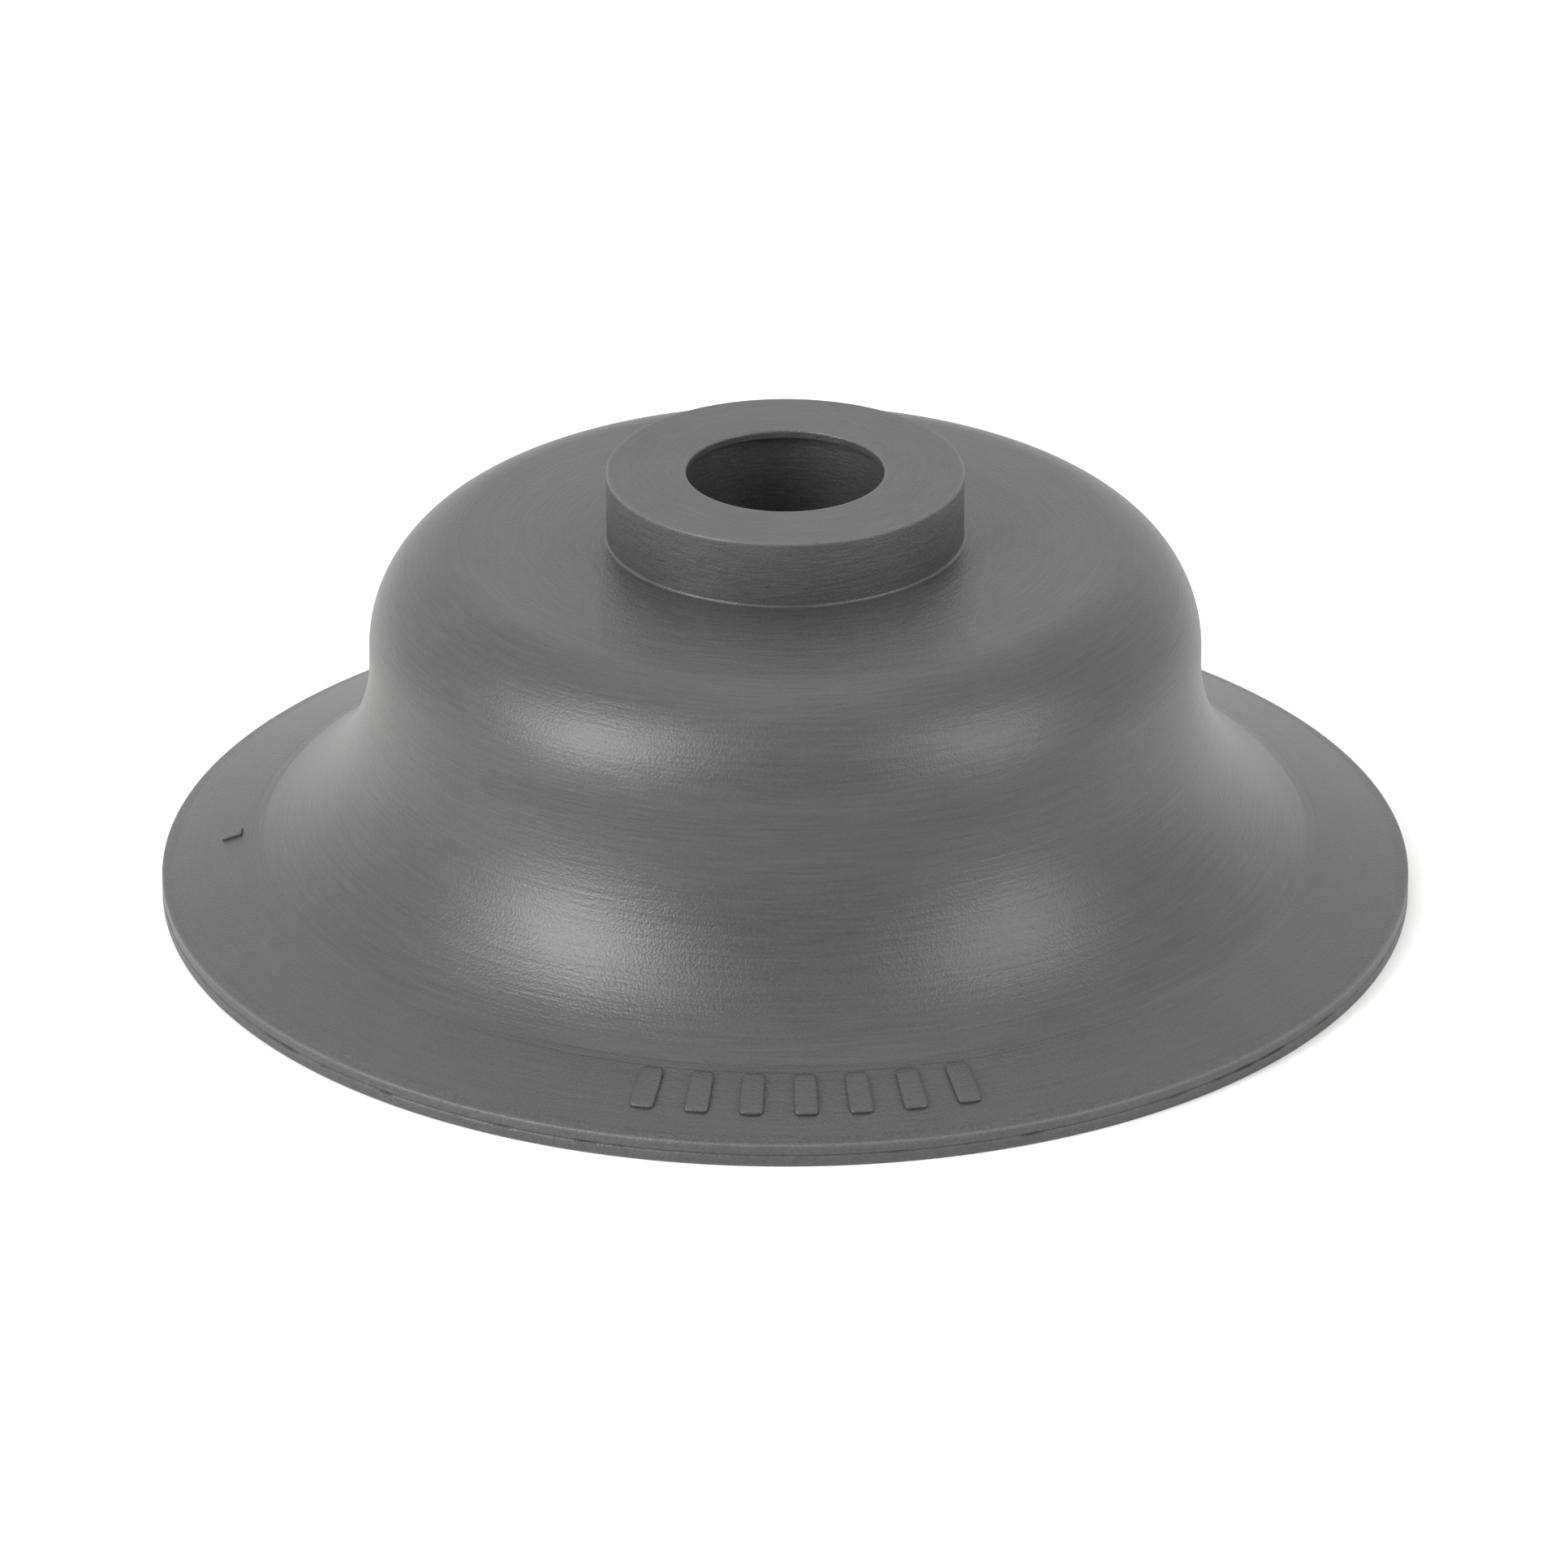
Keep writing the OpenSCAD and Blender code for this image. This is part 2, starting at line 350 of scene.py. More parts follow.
def put_mesh(name, places_mm, quads, rub=None):
    """A mesh object from an array of places and an array of four-cornered faces.

    Each vertex keeps its place at rest in the attribute rest_mm, which the materials read, so that their
    marks stay on the rubber as it flexes. A second attribute says how pale each vertex is painted: part wear,
    and part painted highlight on an edge that catches the light.
    """
    mesh = bpy.data.meshes.new(name)
    mesh.vertices.add(len(places_mm))
    mesh.vertices.foreach_set("co", (places_mm * MM).ravel())
    mesh.loops.add(quads.size)
    mesh.loops.foreach_set("vertex_index", quads.ravel())
    mesh.polygons.add(len(quads))
    mesh.polygons.foreach_set("loop_start", np.arange(0, quads.size, 4))
    mesh.update(calc_edges=True)
    mesh.validate()
    mesh.shade_smooth()
    mesh.set_sharp_from_angle(angle=SHARP_EDGE)
    rest = mesh.attributes.new("rest_mm", "FLOAT_VECTOR", "POINT")
    rest.data.foreach_set("vector", places_mm.ravel())
    rubbed = mesh.attributes.new("rub", "FLOAT", "POINT")
    rubbed.data.foreach_set("value", np.zeros(len(places_mm)) if rub is None else rub)
    piece = bpy.data.objects.new(name, mesh)
    bpy.context.scene.collection.objects.link(piece)
    return piece


def revolve(name, outline, around, rub=None, swell=None):
    """A ring: the closed outline [r, z] turned about Z, so a place is [r cos t, r sin t, z] for each turn t.

    swell, if given, is added to the radius for each turn and outline point. The outline is put anticlockwise
    first, so that faces point outwards.
    """
    after = np.roll(outline, -1, axis=0)
    area = np.sum(outline[:, 0] * after[:, 1] - after[:, 0] * outline[:, 1])
    if area < 0:
        outline = outline[::-1]
        rub = None if rub is None else rub[::-1]
        swell = None if swell is None else swell[:, ::-1]
    count = len(outline)
    turn = np.arange(around) * 2 * np.pi / around
    radius = np.broadcast_to(outline[:, 0], (around, count)) + (0 if swell is None else swell)
    height = np.broadcast_to(outline[:, 1], (around, count))
    places = np.stack([radius * np.cos(turn)[:, None], radius * np.sin(turn)[:, None], height], axis=2)
    i, j = np.meshgrid(np.arange(around), np.arange(count), indexing="ij")
    i_next, j_next = (i + 1) % around, (j + 1) % count
    quads = np.stack([i * count + j, i_next * count + j, i_next * count + j_next, i * count + j_next], axis=2)
    wear_and_highlight_all = None if rub is None else np.broadcast_to(rub, (around, count)).ravel()
    return put_mesh(name, places.reshape(-1, 3), quads.reshape(-1, 4), wear_and_highlight_all)


def wear_and_highlight_near(outline, corners, reach):
    """How pale each outline point is painted, as part wear and part painted highlight: 1 at a listed corner,
    fading to 0 at a distance of reach.
    """
    gap = np.linalg.norm(outline[:, None] - np.asarray(corners, float)[None], axis=2).min(axis=1)
    return np.clip(1 - gap / reach, 0, 1)


def shell(outer, inner):
    """A closed outline from an outer run of points and an inner run that starts at the same end."""
    return np.concatenate([outer, inner[::-1]])


def finish(piece, material):
    """Gives a piece its material."""
    piece.data.materials.append(material)
    return piece


# ---------------------------------------------------------------- rubber


def linear(hex_colour):
    """An sRGB hex colour as linear RGBA."""
    parts = [int(hex_colour[k : k + 2], 16) / 255 for k in (1, 3, 5)]
    return [c / 12.92 if c <= 0.04045 else ((c + 0.055) / 1.055) ** 2.4 for c in parts] + [1.0]


def add(tree, kind, inputs=(), **settings):
    """Adds a node with its settings. inputs maps a socket to a value, or to another node's output."""
    node = tree.nodes.new(kind)
    for key, value in settings.items():
        setattr(node, key, value)
    for socket, value in dict(inputs).items():
        if isinstance(value, bpy.types.NodeSocket):
            tree.links.new(value, node.inputs[socket])
        else:
            node.inputs[socket].default_value = value
    return node


def moulded_rubber(name, colour, finish_values, roughness, turning=1.0, mottle=1.0, cloud_mm=4.5):
    """Compression-moulded nitrile rubber, filled with carbon black and chalk, IOR about 1.57.

    The mould was turned on a lathe, so the skin carries its fine rings. They are drawn at their real pitch in
    the half section, and fade in and out over a few millimetres round the axis. Over them lie a fine grain,
    soft cloudy patches of bloom, and pale edges that are part wear and part painted highlight on the corners
    that catch the light. The mould was polished less on the dome.
    """
    if name in bpy.data.materials:
        return bpy.data.materials[name]
    material = bpy.data.materials.new(name)
    material.use_nodes = True
    tree = material.node_tree
    tree.nodes.clear()
    rest = add(tree, "ShaderNodeAttribute", attribute_name="rest_mm").outputs["Vector"]
    split = add(tree, "ShaderNodeSeparateXYZ", {0: rest}).outputs
    flat = add(tree, "ShaderNodeCombineXYZ", {0: split[0], 1: split[1]}).outputs[0]
    radius = add(tree, "ShaderNodeVectorMath", {0: flat}, operation="LENGTH").outputs["Value"]
    heading = add(tree, "ShaderNodeVectorMath", {0: flat}, operation="NORMALIZE").outputs[0]
    facing = add(tree, "ShaderNodeSeparateXYZ", {0: heading}).outputs

    def times(value, factor):
        return add(tree, "ShaderNodeMath", {0: value, 1: factor}, operation="MULTIPLY").outputs[0]

    def noise(scale, detail):
        inputs = {"Vector": rest, "Scale": scale, "Detail": detail, "Roughness": NOISE_ROUGHNESS}
        return add(tree, "ShaderNodeTexNoise", inputs).outputs[0]

    def rings(across_mm, round_mm, detail):
        """Noise across_mm wide in the half section, and round_mm long round the axis at RINGS_RADIUS."""
        across, along = 1 / across_mm, RINGS_RADIUS / round_mm
        section = {0: times(radius, across), 1: times(split[2], across), 2: times(facing[0], along)}
        place = add(tree, "ShaderNodeCombineXYZ", section).outputs[0]
        inputs = {"Vector": place, "W": times(facing[1], along), "Scale": 1.0, "Detail": detail}
        return add(tree, "ShaderNodeTexNoise", inputs, noise_dimensions="4D").outputs[0]

    def bump(height, distance, under=None):
        inputs = {"Height": height, "Distance": distance, "Strength": 1.0}
        if under is not None:
            inputs["Normal"] = under
        return add(tree, "ShaderNodeBump", inputs).outputs[0]

    def mixed_in(value, share, total):
        inputs = {0: value, 1: share, 2: total}
        return add(tree, "ShaderNodeMath", inputs, operation="MULTIPLY_ADD").outputs[0]

    def blended(factor, first, second):
        return add(tree, "ShaderNodeMix", {0: factor, 6: first, 7: second}, data_type="RGBA").outputs[2]

    pitch = finish_values.turning_pitch / MM
    depth = finish_values.turning_depth * turning
    fine_rings = rings(pitch, round_mm=3.5, detail=2.0)
    broad_rings = rings(pitch * 5, round_mm=20.0, detail=1.0)
    grain = noise(scale=8.0, detail=3.0)
    cloud = noise(scale=1 / cloud_mm, detail=4.0)
    relief = bump(broad_rings, depth * 0.7, bump(fine_rings, depth))
    relief = bump(grain, finish_values.grain_depth * mottle, relief)

    base = linear(colour)
    dark = [c * DARKEST for c in base[:3]] + [1.0]
    light = [c * PALEST for c in base[:3]] + [1.0]
    streak, speck, patch = 0.9 * turning, 0.7 * mottle, 0.4 * mottle
    shares = mixed_in(cloud, patch, 0.5 - (streak + speck + patch) / 2)
    shares = mixed_in(fine_rings, streak, mixed_in(grain, speck, shares))
    # Edges are painted pale here: part wear, part painted highlight where an edge catches the light.
    rub = add(tree, "ShaderNodeAttribute", attribute_name="rub").outputs["Fac"]
    tone = blended(times(rub, grain), blended(shares, dark, light), linear(finish_values.rubbed_hex))
    matte = finish_values.dome_matte
    dome = {"Value": split[2], "From Min": DOME_LOW, "From Max": DOME_HIGH, "To Max": matte}
    dome = add(tree, "ShaderNodeMapRange", dome).outputs[0]
    dull = {0: mixed_in(grain, GRAIN_ROUGHNESS, dome), 1: roughness - GRAIN_ROUGHNESS / 2}
    dull = add(tree, "ShaderNodeMath", dull, operation="ADD").outputs[0]
    skin = add(
        tree, "ShaderNodeBsdfPrincipled",
        {"Base Color": tone, "Roughness": dull, "IOR": 1.57, "Normal": relief},
    )
    add(tree, "ShaderNodeOutputMaterial", {"Surface": skin.outputs[0]})
    return material


def bell_rubber():
    """Rubber off the turned halves of the mould."""
    values = bpy.context.scene.rubber_finish
    return moulded_rubber("moulded_rubber", values.bell_hex, values, values.roughness)


def lip_rubber():
    """The same rubber off the lip's face of the mould, which was lapped, so that its rings are faint."""
    values = bpy.context.scene.rubber_finish
    rougher = values.roughness + 0.02
    return moulded_rubber("lapped_rubber", values.bell_hex, values, rougher, turning=0.55, mottle=1.3)


def collar_rubber():
    """The same rubber where the mould's insert was faced off, a touch flatter and paler."""
    values = bpy.context.scene.rubber_finish
    return moulded_rubber("faced_rubber", values.collar_hex, values, values.roughness + 0.06, turning=0.9)


def edge_rubber():
    """The same rubber where the flash was trimmed off with a blade, rougher and more patchy."""
    values = bpy.context.scene.rubber_finish
    rougher = values.roughness + 0.06
    return moulded_rubber(
        "trimmed_rubber", values.collar_hex, values, rougher, turning=0.8, mottle=2.2, cloud_mm=0.4
    )


def bore_rubber():
    """The same rubber off the core pin of the mould, painted a touch paler than the bell as painted light,
    since little light reaches into the bore and the neck.
    """
    values = bpy.context.scene.rubber_finish
    return moulded_rubber("bore_rubber", values.bore_hex, values, values.roughness + 0.05, turning=1.3)


# ---------------------------------------------------------------- operators: one for each group of zones


class CUP_OT_sealing_edge(bpy.types.Operator):
    """Build the upright sealing edge with its parting line"""

    bl_idname = "cup.sealing_edge"
    bl_label = "Sealing edge"

    def execute(self, context):
        p = Profile(context.scene.cup_sizes)
        mid, deep = p.edge_height / 2, p.parting_depth
        corners = [
            [p.edge_inner, 0], [p.lip_radius, 0],
            [p.lip_radius, mid - PARTING_SPREAD], [p.lip_radius - deep, mid],
            [p.lip_radius, mid + PARTING_SPREAD], [p.lip_radius, p.edge_height], p.lip_top(p.edge_inner)[0],
        ]
        outline = rounded(corners, [0, 0.08, 0.03, 0.02, 0.03, 0.07, 0], 0.08)
        # The blade that trimmed the edge wandered by a few hundredths of a millimetre, and nicked the line.
        around = p.around * 4
        turn = np.arange(around) * 2 * np.pi / around
        wander = sum(np.sin(k * turn + k * k) / k for k in (3, 7, 13, 22, 41, 67)) * 0.011 - 0.022
        nick = sum(np.sin(k * turn + 2.0 * k * k) for k in (2, 5, 11, 29, 53, 90)) / 3
        nick = p.blade_nick * np.clip(nick, 0, 1)
        outside = np.clip((outline[:, 0] - p.edge_inner - 0.2) / (p.edge_width - 0.2), 0, 1)
        near_line = np.clip(1 - np.abs(outline[:, 1] - mid) / 0.1, 0, 1) * outside
        swell = wander[:, None] * outside[None] - nick[:, None] * near_line[None]
        # The top and the foot of the edge are painted pale: part wear, part painted highlight along the
        # corners that catch the light.
        rub = wear_and_highlight_near(outline, [corners[5]], WEAR_AND_HIGHLIGHT_REACH) + 0.5 * wear_and_highlight_near(outline, [corners[1]], 0.2)
        piece = revolve("sealing_edge", outline, around, rub, swell)
        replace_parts(finish(piece, edge_rubber()), "sealing_edge")
        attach(piece, "edge")
        return {"FINISHED"}


class CUP_OT_lip(bpy.types.Operator):
    """Build the conical lip as the sheet under its top and the sheet over its underside"""

    bl_idname = "cup.lip"
    bl_label = "Lip"

    def execute(self, context):
        p = Profile(context.scene.cup_sizes)
        inward, outward = np.array([-LIP_SKIN, 0]), np.array([LIP_SKIN, 0])
        top = straight(p.lip_top(p.ring_outer), p.lip_top(p.edge_inner), 0.12)
        under = straight(p.lip_under(p.ring_outer), p.lip_under(p.edge_inner), 0.12)
        top_piece = revolve("lip_top", shell(top, top + inward), p.around)
        under_piece = revolve("lip_underside", shell(under, under + outward), p.around)
        for piece, run in ((top_piece, top), (under_piece, under)):
            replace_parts(finish(piece, lip_rubber()), "lip_cone")
            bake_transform(piece)
        return {"FINISHED"}


def bar(p, place, turn, long, width, height):
    """A bar with soft edges that stands on the lip at the radius place, as places and four-cornered faces.

    It is a superellipsoid: with c(t) and s(t) the cosine and sine raised to CORNER_POWER with their signs
    kept, a place is [c(v) c(u) long/2, c(v) s(u) width/2, s(v) height]. Length runs down the slope of the
    lip, width runs round the axis, and height stands square to the slope. The lower half lies in the lip.
    """
    def power(t):
        return np.sign(t) * np.abs(t) ** CORNER_POWER

    # The half turn up stops just short of both poles, where the rings would shrink to a point.
    u = np.arange(BAR_POINTS_ROUND) * 2 * np.pi / BAR_POINTS_ROUND
    v = np.linspace(-0.5, 0.5, BAR_POINTS_UP)[:, None] * np.pi * 0.999
    along = power(np.cos(v)) * power(np.cos(u)) * long / 2
    across = power(np.cos(v)) * power(np.sin(u)) * width / 2
    out = np.broadcast_to(power(np.sin(v)) * height, along.shape)
    middle = p.lip_top(place)[0]
    slope = p.lip_slope
    radius = middle[0] + along * math.cos(slope) + out * math.sin(slope)
    height_z = middle[1] - along * math.sin(slope) + out * math.cos(slope)
    heading = turn + across / middle[0]
    places = np.stack([radius * np.cos(heading), radius * np.sin(heading), height_z], 2)
    rows, cols = along.shape
    i, j = np.meshgrid(np.arange(rows - 1), np.arange(cols), indexing="ij")
    j_next = (j + 1) % cols
    quads = np.stack([i * cols + j, i * cols + j_next, (i + 1) * cols + j_next, (i + 1) * cols + j], 2)
    return places.reshape(-1, 3), quads.reshape(-1, 4)


class CUP_OT_marks(bpy.types.Operator):
    """Build the plain raised bars on the front of the lip and the small tick on its left"""

    bl_idname = "cup.marks"
    bl_label = "Raised marks"

    def execute(self, context):
        p = Profile(context.scene.cup_sizes)
        marks = context.scene.mark_sizes
        fan = (np.arange(marks.count) - (marks.count - 1) / 2) * marks.pitch - math.pi / 2 + marks.turn
        size = [marks.long / MM, marks.width / MM, marks.height / MM]
        bars = [bar(p, marks.place / MM, turn, *size) for turn in fan]
        self.put("lip_bars", p, bars, size[2])
        long, leg = marks.tick_length / MM, marks.tick_leg / MM
        width, height = marks.tick_width / MM, marks.tick_height / MM
        place, turn = marks.tick_place / MM, marks.tick_turn
        inner = place - (long - width) / 2 * math.cos(p.lip_slope)
        leg_turn = turn - (leg - width) / 2 / inner
        tick = [bar(p, place, turn, long, width, height), bar(p, inner, leg_turn, width, leg, height)]
        self.put("lip_tick", p, tick, height)
        return {"FINISHED"}

    @staticmethod
    def put(name, p, marks, rise):
        """Joins marks of one height into one piece."""
        firsts = np.cumsum([0] + [len(places) for places, _ in marks])
        places = np.concatenate([places for places, _ in marks])
        quads = np.concatenate([quads + first for (_, quads), first in zip(marks, firsts)])
        piece = put_mesh(name, places, quads)
        close_poles(piece)
        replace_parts(finish(piece, lip_rubber()), name)
        low, high = p.lip_top([p.edge_inner, p.ring_outer])[:, 1] + rise / 2
        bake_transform(piece)


def close_poles(piece):
    """Fills the small open ring at each end of every superellipsoid, and turns all faces outwards."""
    work = bmesh.new()
    work.from_mesh(piece.data)
    rims = [e for e in work.edges if e.is_boundary]
    bmesh.ops.holes_fill(work, edges=rims, sides=0)
    bmesh.ops.recalc_face_normals(work, faces=work.faces)
    work.to_mesh(piece.data)
    work.free()
    piece.data.shade_smooth()


class CUP_OT_flare(bpy.types.Operator):
    """Build the crease ring, the flare and its two stiff rings"""

    bl_idname = "cup.flare"
    bl_label = "Flare"

    def execute(self, context):
        p = Profile(context.scene.cup_sizes)
        rubber = bell_rubber()
        crease_outer = np.concatenate([
            arc(p.flare, LIP_ROOT_TOP, p.flare_foot, 0, p.fine_step),
            straight(p.crease, p.lip_top(p.ring_outer), p.fine_step)[1:],
        ])
        crease_inner = np.concatenate([
            arc(p.flare, LIP_ROOT_TOP, p.flare_foot, p.wall, p.coarse_step),
            straight(p.crease_under, p.lip_under(p.ring_outer), p.coarse_step)[1:],
        ])
        crease = revolve("lip_root_ring", shell(crease_outer, crease_inner), p.around)
        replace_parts(finish(crease, rubber), "lip_root_ring")
        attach(crease, "lip_root")

        lower = self.zone("lower_flare", p, FLARE_RING_LOW, LIP_ROOT_TOP, rubber)
        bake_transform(lower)
        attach(self.zone("flare_ring", p, FLARE_RING_HIGH, FLARE_RING_LOW, rubber), "flare")
        upper = self.zone("upper_flare", p, WAIST_LOW, FLARE_RING_HIGH, rubber)
        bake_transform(upper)
        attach(self.zone("waist_ring", p, WAIST_HIGH, WAIST_LOW, rubber), "waist")
        return {"FINISHED"}

    @staticmethod
    def zone(name, p, high, low, rubber):
        """A zone of the flare between two slopes: the outer arc, and the same arc one wall deeper."""
        outer = arc(p.flare, high, low, 0, p.fine_step)
        inner = arc(p.flare, high, low, p.wall, p.coarse_step)
        piece = finish(revolve(name, shell(outer, inner), p.around), rubber)
        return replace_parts(piece, name)


class CUP_OT_bell(bpy.types.Operator):
    """Build the upright wall, the round shoulder and the crown"""

    bl_idname = "cup.bell"
    bl_label = "Bell"

    def execute(self, context):
        p = Profile(context.scene.cup_sizes)
        rubber = bell_rubber()
        wall = [
            np.concatenate([
                arc(p.side, SHOULDER_LOW, UPRIGHT, depth, step),
                arc(p.flare, UPRIGHT, WAIST_HIGH, depth, step),
            ])
            for depth, step in ((0, p.fine_step), (p.wall, p.coarse_step))
        ]
        wall_piece = finish(revolve("waist_wall", shell(*wall), p.around), rubber)
        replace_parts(wall_piece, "waist_wall")
        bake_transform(wall_piece)
        shoulder = [
            np.concatenate([
                arc(p.top, p.crown_slope, p.shoulder_split, depth, step),
                arc(p.side, p.shoulder_split, SHOULDER_LOW, depth, step)[1:],
            ])
            for depth, step in ((0, p.fine_step), (p.wall, p.coarse_step))
        ]
        crown = [
            p.crown(np.linspace(p.collar_radius, p.top(p.crown_slope, depth)[0, 0], count), depth)
            for depth, count in ((0, 60), (p.wall, 24))
        ]
        for name, runs in (("shoulder", shoulder), ("crown", crown)):
            piece = finish(revolve(name, shell(*runs), p.around), rubber)
            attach(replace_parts(piece, name), "bell")
        return {"FINISHED"}


class CUP_OT_collar(bpy.types.Operator):
    """Build the collar, the fillet at its foot, the neck inside the bell and the two lands of the bore"""

    bl_idname = "cup.collar"
    bl_label = "Collar and bore"

    def execute(self, context):
        p = Profile(context.scene.cup_sizes)
        self.ring(
            "collar", p, collar_rubber(), "rubber_collar",
            corners=[
                [p.pocket_radius, p.crown_height], [p.collar_radius, p.crown_height],
                [p.collar_radius, p.collar_top], [p.pocket_radius, p.collar_top],
            ],
            # The collar's top outer edge is painted pale: part wear, part painted highlight.
            radii=[0, 0, p.crisp, 0], rubbed=[2],
        )
        self.ring(
            "mouth_land", p, collar_rubber(), "rubber_collar",
            corners=[
                [p.bore_radius, p.mouth_land_foot], [p.pocket_radius, p.mouth_land_foot],
                [p.pocket_radius, p.collar_top], [p.bore_radius, p.collar_top],
            ],
            # The bore's mouth is painted pale: part wear, part painted highlight.
            radii=[p.crisp * 0.6, 0, 0, p.crisp * 1.2], rubbed=[3],
        )
        self.ring(
            "neck_root", p, bore_rubber(), "rubber_inside",
            corners=[
                [p.pocket_radius, p.neck_foot], [p.collar_radius, p.neck_foot],
                [p.collar_radius, p.crown_height], [p.pocket_radius, p.crown_height],
            ],
            radii=[0, 0.5, 0, 0], rubbed=[],
        )
        self.ring(
            "inner_land", p, bore_rubber(), "rubber_inside",
            corners=[
                [p.bore_radius, p.neck_foot], [p.pocket_radius, p.neck_foot],
                [p.pocket_radius, p.inner_land_top], [p.bore_radius, p.inner_land_top],
            ],
            radii=[p.crisp, 0, 0, p.crisp], rubbed=[],
        )
        self.foot_fillet(p)
        return {"FINISHED"}

    @staticmethod
    def ring(name, p, rubber, slot, corners, radii, rubbed):
        """A square-sectioned ring with round corners. The last argument lists the corners painted pale, as
        part wear and part painted highlight.
        """
        outline = rounded(corners, radii, 0.12)
        rub = wear_and_highlight_near(outline, [corners[k] for k in rubbed], WEAR_AND_HIGHLIGHT_REACH) if rubbed else None
        piece = finish(revolve(name, outline, p.around, rub), rubber)
        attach(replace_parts(piece, name), "bell")

    @staticmethod
    def foot_fillet(p):
        """A quarter of a hollow circle between the crown and the collar, closed by its corner."""
        turn = np.linspace(0, np.pi / 2, 9)
        size = p.foot_fillet
        hollow = np.stack([
            p.collar_radius + size * (1 - np.sin(turn)),
            p.crown_height + size * (1 - np.cos(turn)),
        ], axis=1)
        hollow[0] = p.crown(p.collar_radius + size, 0)[0]
        outline = np.concatenate([hollow, [[p.collar_radius, p.crown_height]]])
        piece = finish(revolve("collar_foot_bead", outline, p.around), bell_rubber())
        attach(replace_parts(piece, "collar_foot_bead"), "bell")


# ---------------------------------------------------------------- the stage


def studio_floor(hex_colour):
    """A level sheet far wider than the view, painted matte and pale with a faint cloudiness."""
    steps = np.linspace(-FLOOR_WIDTH / 2, FLOOR_WIDTH / 2, FLOOR_SQUARES + 1)
    x, y = np.meshgrid(steps, steps, indexing="ij")
    places = np.stack([x, y, np.zeros_like(x)], 2).reshape(-1, 3)
    i, j = np.meshgrid(np.arange(FLOOR_SQUARES), np.arange(FLOOR_SQUARES), indexing="ij")
    here, row = i * (FLOOR_SQUARES + 1) + j, FLOOR_SQUARES + 1
    quads = np.stack([here, here + row, here + row + 1, here + 1], 2).reshape(-1, 4)
    mesh = bpy.data.meshes.new("studio_floor")
    mesh.from_pydata(places.tolist(), [], quads.tolist())
    floor = bpy.data.objects.new("studio_floor", mesh)
    bpy.context.scene.collection.objects.link(floor)
    material = bpy.data.materials.new("matte_paint")
    material.use_nodes = True
    tree = material.node_tree
    tree.nodes.clear()
    place = add(tree, "ShaderNodeTexCoord").outputs["Object"]
    cloud = add(tree, "ShaderNodeTexNoise", {"Vector": place, "Scale": 4.0, "Detail": 2.0}).outputs[0]
    base = linear(hex_colour)
    tone = add(
        tree, "ShaderNodeMix", {0: cloud, 6: [c * 0.99 for c in base[:3]] + [1.0], 7: base}, data_type="RGBA"
    ).outputs[2]
    paint = add(tree, "ShaderNodeBsdfPrincipled", {"Base Color": tone, "Roughness": 0.8})
    add(tree, "ShaderNodeOutputMaterial", {"Surface": paint.outputs[0]})
    mesh.materials.append(material)
    return floor


def soft_box(name, turn_deg, elevation_deg, distance, width, height, power):
    """A rectangular light that faces the cup. turn_deg is counted from the front, positive to the right."""
    turn, elevation = math.radians(turn_deg), math.radians(elevation_deg)
    place = Vector((
        distance * math.cos(elevation) * math.sin(turn),
        -distance * math.cos(elevation) * math.cos(turn),
        distance * math.sin(elevation),
    ))
    lamp = bpy.data.lights.new(name, "AREA")
    lamp.shape, lamp.size, lamp.size_y, lamp.energy = "RECTANGLE", width, height, power
    box = bpy.data.objects.new(name, lamp)
    box.location = place
    box.rotation_euler = (Vector((0, 0, 0.01)) - place).to_track_quat("-Z", "Y").to_euler()
    bpy.context.scene.collection.objects.link(box)


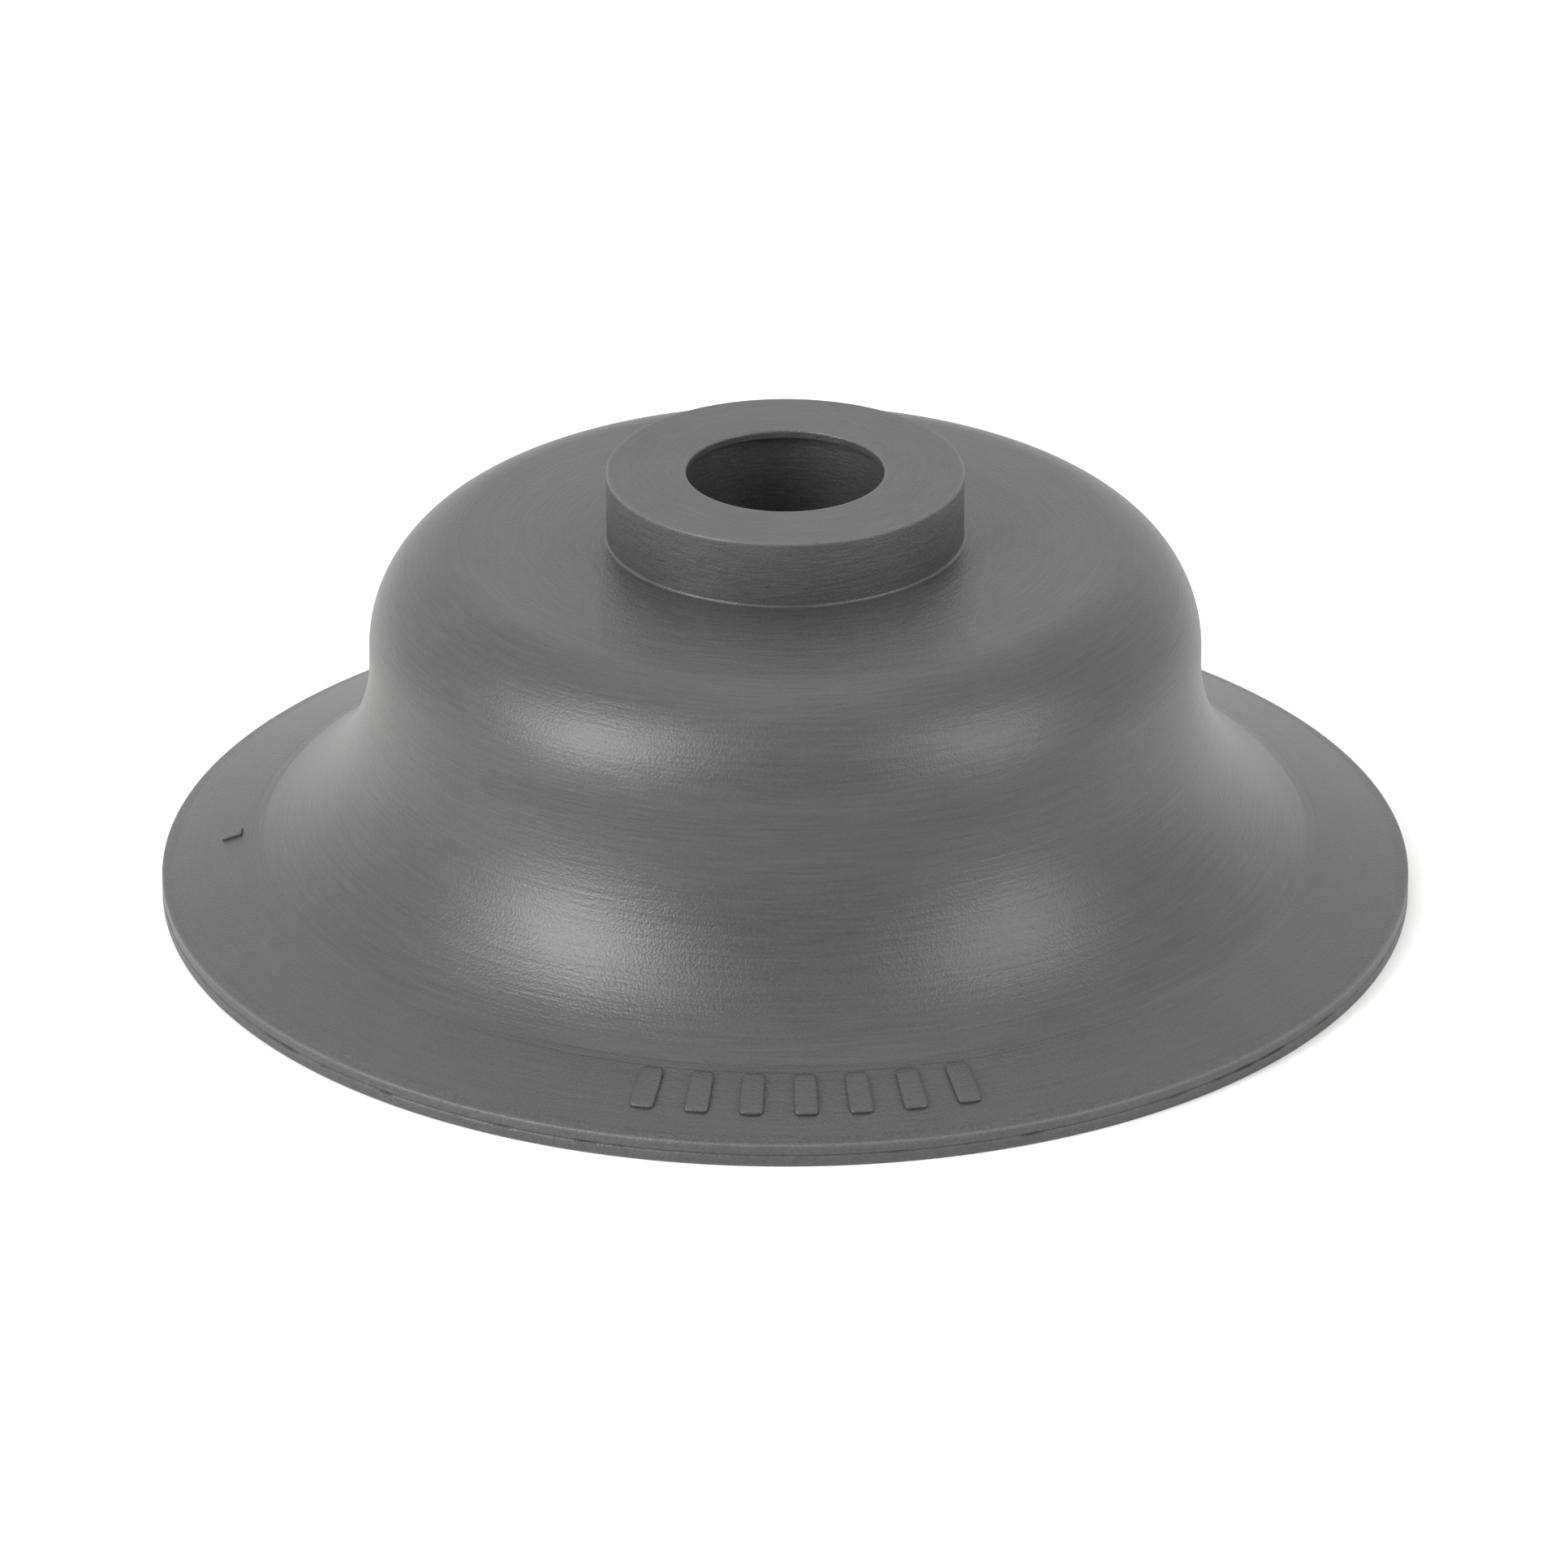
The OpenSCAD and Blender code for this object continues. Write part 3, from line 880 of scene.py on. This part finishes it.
class CUP_OT_stage(bpy.types.Operator):
    """Build the floor, the white room, the soft boxes and the camera"""

    bl_idname = "cup.stage"
    bl_label = "Stage"

    def execute(self, context):
        scene, values = context.scene, context.scene.studio
        studio_floor(values.floor_hex)
        scene.world = self.white_room(values)
        soft_box("left_box", -56, 30, 0.45, 0.20, 0.33, values.left_power)
        soft_box("right_box", 58, 29, 0.45, 0.20, 0.33, values.right_power)
        soft_box("top_box", 180, 80, 0.55, 0.35, 0.35, values.top_power)
        self.camera(scene, values)
        scene.view_settings.view_transform = "Standard"
        return {"FINISHED"}

    @staticmethod
    def white_room(values):
        """A white room, brightest behind the cup and dimmest in front of it."""
        room = bpy.data.worlds.new("white_room")
        room.use_nodes = True
        tree = room.node_tree
        tree.nodes.clear()
        side = add(tree, "ShaderNodeTexCoord").outputs["Generated"]
        depth = add(tree, "ShaderNodeSeparateXYZ", {0: side}).outputs[1]
        dim = values.sky * values.dim_front
        strength = {0: depth, 1: dim, 2: values.sky}
        strength = add(tree, "ShaderNodeMath", strength, operation="MULTIPLY_ADD").outputs[0]
        white = add(tree, "ShaderNodeBackground", {"Color": (1, 1, 1, 1), "Strength": strength})
        add(tree, "ShaderNodeOutputWorld", {"Surface": white.outputs[0]})
        return room

    @staticmethod
    def camera(scene, values):
        aim = Vector((values.aim_side, 0, values.aim_height))
        away = Vector((0, -math.cos(values.elevation), math.sin(values.elevation))) * values.distance
        lens = bpy.data.cameras.new("camera")
        lens.lens, lens.sensor_width = values.lens, 36.0
        lens.clip_start, lens.clip_end = 0.01, 20.0
        camera = bpy.data.objects.new("camera", lens)
        camera.location = aim + away
        camera.rotation_euler = (-away).to_track_quat("-Z", "Y").to_euler()
        scene.collection.objects.link(camera)
        scene.camera = camera


# ---------------------------------------------------------------- panel, registration, main

STEPS = (
    CUP_OT_stage, CUP_OT_sealing_edge, CUP_OT_lip, CUP_OT_marks, CUP_OT_flare, CUP_OT_bell, CUP_OT_collar,
)


class CUP_PT_panel(bpy.types.Panel):
    """Lists the steps that build the cup, with their sizes"""

    bl_idname = "CUP_PT_panel"
    bl_label = "Suction cup"
    bl_space_type = "VIEW_3D"
    bl_region_type = "UI"
    bl_category = "Cup"

    def draw(self, context):
        layout, scene = self.layout, context.scene
        for step in STEPS:
            layout.operator(step.bl_idname)
        for group in (scene.cup_sizes, scene.mark_sizes, scene.rubber_finish, scene.studio):
            box = layout.box()
            for key in group.bl_rna.properties.keys():
                if key not in ("rna_type", "name"):
                    box.prop(group, key)


GROUPS = {"cup_sizes": CupSizes, "mark_sizes": MarkSizes, "rubber_finish": RubberFinish, "studio": Studio}


def register():
    for cls in (*GROUPS.values(), *STEPS, CUP_PT_panel):
        bpy.utils.register_class(cls)
    for key, cls in GROUPS.items():
        setattr(bpy.types.Scene, key, PointerProperty(type=cls))


def unregister():
    for key in GROUPS:
        delattr(bpy.types.Scene, key)
    for cls in reversed((*GROUPS.values(), *STEPS, CUP_PT_panel)):
        bpy.utils.unregister_class(cls)


def main():
    """Runs every step in order."""
    register()
    for step in STEPS:
        group, name = step.bl_idname.split(".")
        getattr(getattr(bpy.ops, group), name)()


if __name__ == "__main__":
    main()
